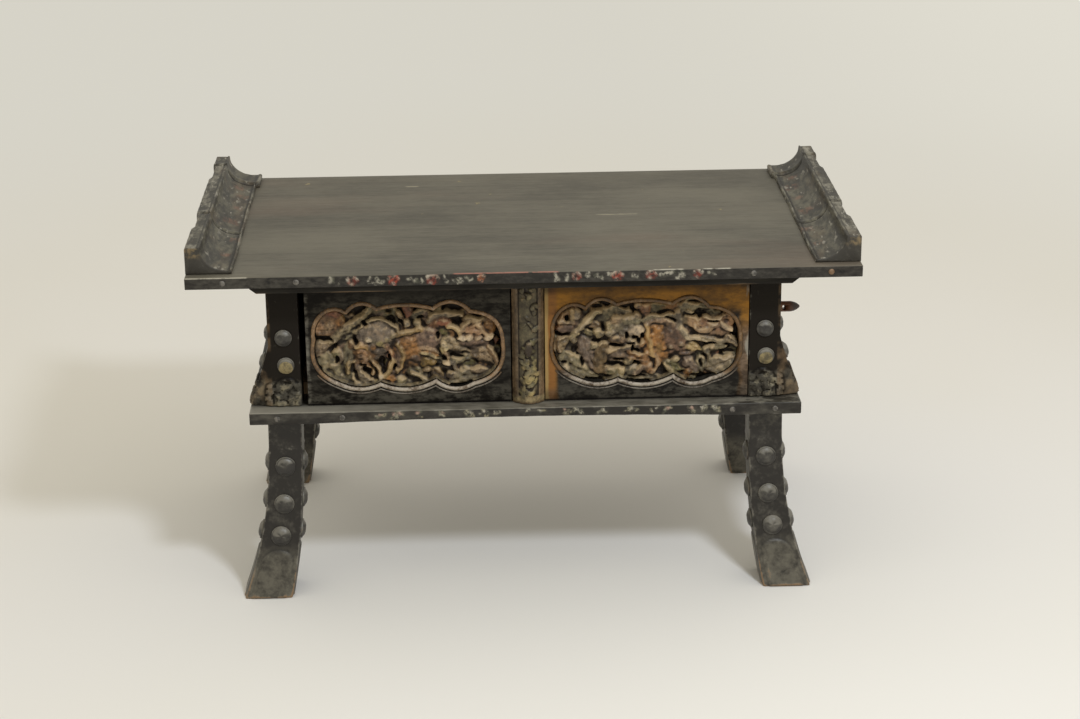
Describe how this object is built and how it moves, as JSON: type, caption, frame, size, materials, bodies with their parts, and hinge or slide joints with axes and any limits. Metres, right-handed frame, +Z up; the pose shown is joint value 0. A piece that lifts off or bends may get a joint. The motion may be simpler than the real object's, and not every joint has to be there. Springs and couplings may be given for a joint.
{
  "type": "low reading table",
  "caption": "Low lacquered reading table with raised brush stops, carved sliding drawers under the top, a shelf and bossed legs that curve out to the feet.",
  "frame": {"origin": "on the floor, under the middle of the top board", "axes": "+X to the right of someone facing the drawers, +Y to the back, +Z up"},
  "size_m": [0.6, 0.33, 0.339],
  "materials": {
    "worn_lacquer": "worn dark lacquer, satin",
    "black_lacquer": "black lacquer, satin, worn at the edges",
    "brown_lacquer": "brown lacquer worn thin",
    "carved_colour": "carved relief with faded colours",
    "bare_wood": "plain planed wood",
    "red_brown": "red brown stained wood",
    "iron": "dull wrought nail heads"
  },
  "bodies": {
    "table": {"top_board": "worn_lacquer", "brush_stop_left": "worn_lacquer", "brush_stop_right": "worn_lacquer", "under_rail_front": "black_lacquer", "under_rail_back": "black_lacquer", "under_rail_left": "black_lacquer", "under_rail_right": "black_lacquer", "upper_post_front_left": "black_lacquer", "upper_post_front_right": "black_lacquer", "upper_post_back_left": "black_lacquer", "upper_post_back_right": "black_lacquer", "shelf_board": "black_lacquer", "lower_leg_front_left": "black_lacquer", "lower_leg_front_right": "black_lacquer", "lower_leg_back_left": "black_lacquer", "lower_leg_back_right": "black_lacquer", "end_panel_left": "black_lacquer", "end_panel_right": "black_lacquer", "back_panel": "black_lacquer", "centre_partition": "bare_wood", "centre_strut": "brown_lacquer", "drawer_guide_left_outer": "bare_wood", "drawer_guide_left_inner": "bare_wood", "drawer_guide_right_inner": "bare_wood", "drawer_guide_right_outer": "bare_wood", "top_edge_nail_1": "iron", "top_edge_nail_2": "iron", "top_edge_nail_3": "iron", "top_edge_nail_4": "iron", "shelf_edge_nail_1": "iron", "shelf_edge_nail_2": "iron", "shelf_edge_nail_3": "iron", "shelf_edge_nail_4": "iron"},
    "left_drawer": {"left_drawer_front": "brown_lacquer", "left_drawer_carving": "carved_colour", "left_drawer_side_left": "bare_wood", "left_drawer_side_right": "bare_wood", "left_drawer_back": "bare_wood", "left_drawer_bottom": "bare_wood"},
    "right_drawer": {"right_drawer_front": "brown_lacquer", "right_drawer_carving": "carved_colour", "right_drawer_side_left": "bare_wood", "right_drawer_side_right": "bare_wood", "right_drawer_back": "bare_wood", "right_drawer_bottom": "bare_wood"},
    "peg": {"side_peg": "red_brown"}
  },
  "joints": [
    {"name": "left_drawer_slide", "type": "slide", "parent": "table", "child": "left_drawer", "axis": [0, -1, 0], "range_m": [0, 0.2]},
    {"name": "right_drawer_slide", "type": "slide", "parent": "table", "child": "right_drawer", "axis": [0, -1, 0], "range_m": [0, 0.2]},
    {"name": "side_peg_pull", "type": "slide", "parent": "table", "child": "peg", "axis": [1, 0, 0], "range_m": [0, 0.012]}
  ]
}
